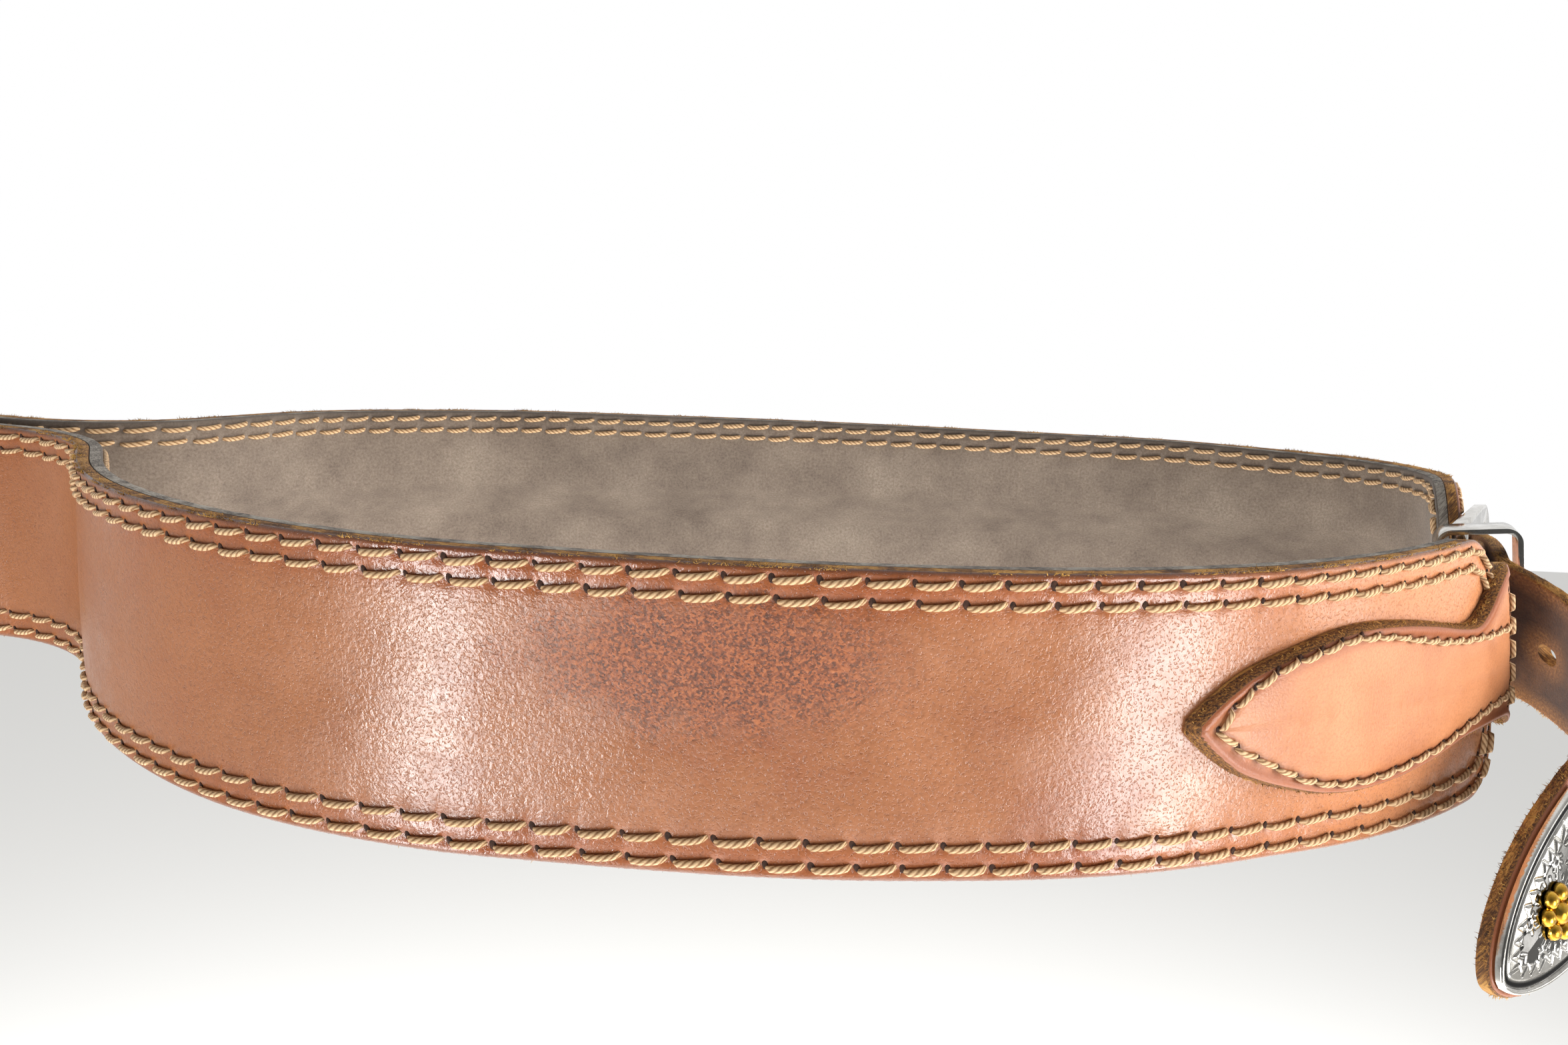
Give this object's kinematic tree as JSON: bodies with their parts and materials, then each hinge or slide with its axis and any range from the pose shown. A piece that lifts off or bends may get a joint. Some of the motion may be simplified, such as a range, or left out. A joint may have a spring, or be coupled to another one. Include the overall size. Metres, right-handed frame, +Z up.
{
  "type": "western belt",
  "caption": "Western leather belt, worn and fastened: wide two-ply band with sewn pointed billets, a narrow buckle strap, metal keeper and hanging silver tip.",
  "frame": {"origin": "middle of the hollow where the waist goes, half way up the band", "axes": "+Z up along the waist, +X towards the buckle's side, -Y towards the back of the belt, +Y towards the front"},
  "size_m": [0.3688, 0.1771, 0.0649],
  "materials": {
    "band_leather": "semi-gloss pebbled grain",
    "lining_leather": "matte",
    "billet_leather": "satin",
    "silver_metal": "polished",
    "gold_metal": "polished"
  },
  "bodies": {
    "root": {"belt_band": "band_leather", "belt_lining": "lining_leather", "buckle_billet": "billet_leather", "tongue_billet": "billet_leather", "buckle_frame": "silver_metal", "buckle_prong": "silver_metal", "strap_keeper": "silver_metal", "tip_plate": "silver_metal", "tip_ornament": "gold_metal"}
  },
  "joints": []
}
